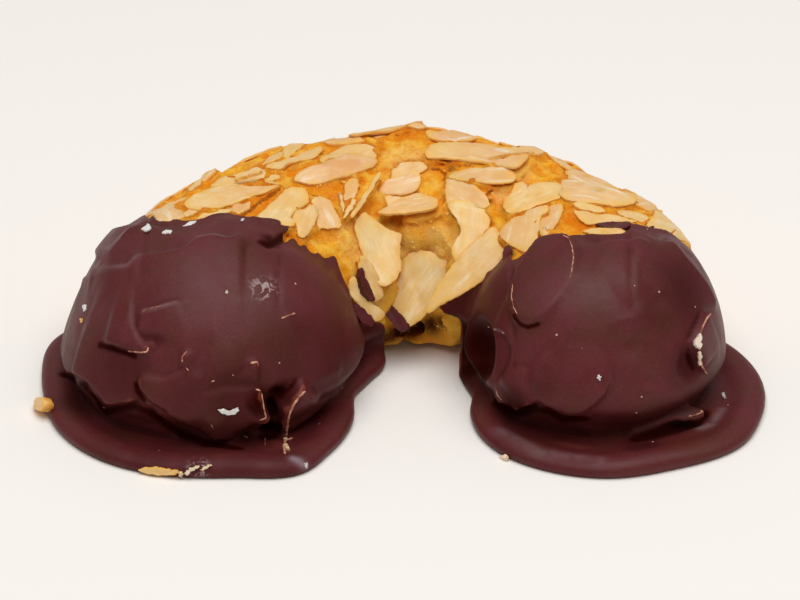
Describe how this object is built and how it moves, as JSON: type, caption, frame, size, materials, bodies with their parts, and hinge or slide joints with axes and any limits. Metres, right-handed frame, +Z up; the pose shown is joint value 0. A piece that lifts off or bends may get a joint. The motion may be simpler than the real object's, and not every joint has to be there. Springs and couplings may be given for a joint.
{
  "type": "almond horn",
  "caption": "Horseshoe-shaped almond biscuit covered in flaked almonds, both ends dipped in dark chocolate.",
  "frame": {"origin": "middle of the base, on the surface that the biscuit rests on", "axes": "+X to the right as seen from the open side, +Y to the back of the bend, +Z up"},
  "size_m": [0.1265, 0.0908, 0.0323],
  "materials": {
    "dough": "baked golden crumb with pale almond flakes",
    "chocolate": "satin dark chocolate"
  },
  "bodies": {
    "root": {"horn": "dough", "chocolate_left": "chocolate", "chocolate_right": "chocolate"}
  },
  "joints": []
}
